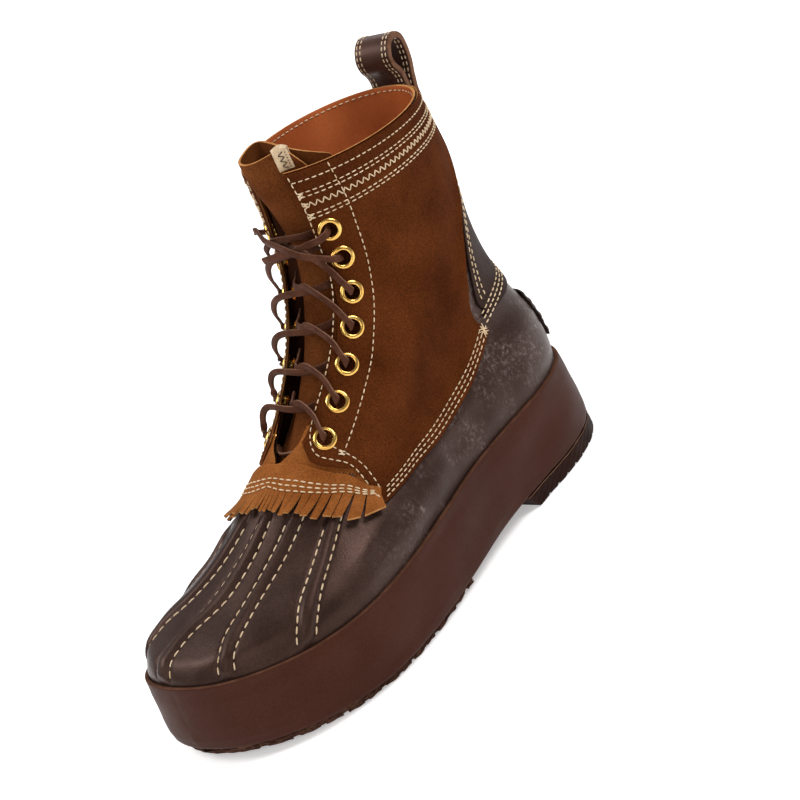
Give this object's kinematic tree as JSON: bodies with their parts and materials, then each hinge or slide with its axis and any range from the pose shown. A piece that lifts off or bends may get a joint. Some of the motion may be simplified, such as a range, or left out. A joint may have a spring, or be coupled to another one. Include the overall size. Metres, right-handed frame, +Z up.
{
  "type": "duck boot",
  "caption": "Left lace-up duck boot on a leather-wrapped platform: dark oiled foot, suede shaft, fringed apron, brass eyelets, pull loop.",
  "frame": {"origin": "on the floor under the middle of the boot's bounding box", "axes": "+Z up, toe towards -Y, heel towards +Y, lateral (outer) side of this left boot towards +X"},
  "size_m": [0.117, 0.3178, 0.2398],
  "materials": {
    "wrap_leather": "smooth reddish-brown leather wrapped round the platform, satin",
    "heel_rubber": "dark brown stacked heel lift, satin",
    "tread_rubber": "rough matt brown tread",
    "lining_leather": "smooth reddish-brown lining, matt",
    "dark_leather": "oiled dark brown leather, fine grain, soft gloss, light scuffs",
    "suede": "napped brown suede with cream stitching",
    "light_suede": "napped tan suede",
    "cream_tape": "woven cream tape with dark zigzag stitching",
    "eyelet_brass": "polished brass, fine scratches",
    "lace_leather": "flat brown leather lace with paler edges"
  },
  "bodies": {
    "root": {"platform": "wrap_leather", "heel_block": "heel_rubber", "forefoot_tread": "tread_rubber", "insole": "lining_leather", "upper": "dark_leather", "quarter_lateral": "suede", "quarter_medial": "suede", "tongue": "suede", "tongue_tab": "cream_tape", "fringed_apron": "light_suede", "vamp_welt_lateral_outer": "dark_leather", "vamp_welt_lateral": "dark_leather", "vamp_welt_middle": "dark_leather", "vamp_welt_medial": "dark_leather", "vamp_welt_medial_outer": "dark_leather", "back_strap": "dark_leather", "heel_patch": "dark_leather", "pull_loop": "dark_leather", "eyelet_lateral_1": "eyelet_brass", "eyelet_lateral_2": "eyelet_brass", "eyelet_lateral_3": "eyelet_brass", "eyelet_lateral_4": "eyelet_brass", "eyelet_lateral_5": "eyelet_brass", "eyelet_lateral_6": "eyelet_brass", "eyelet_lateral_7": "eyelet_brass", "eyelet_medial_1": "eyelet_brass", "eyelet_medial_2": "eyelet_brass", "eyelet_medial_3": "eyelet_brass", "eyelet_medial_4": "eyelet_brass", "eyelet_medial_5": "eyelet_brass", "eyelet_medial_6": "eyelet_brass", "eyelet_medial_7": "eyelet_brass", "lace_crossing_1": "lace_leather", "lace_crossing_2": "lace_leather", "lace_crossing_3": "lace_leather", "lace_crossing_4": "lace_leather", "lace_crossing_5": "lace_leather", "lace_crossing_6": "lace_leather", "lace_bottom_bar": "lace_leather", "lace_top_loop": "lace_leather", "lace_end": "lace_leather"}
  },
  "joints": []
}
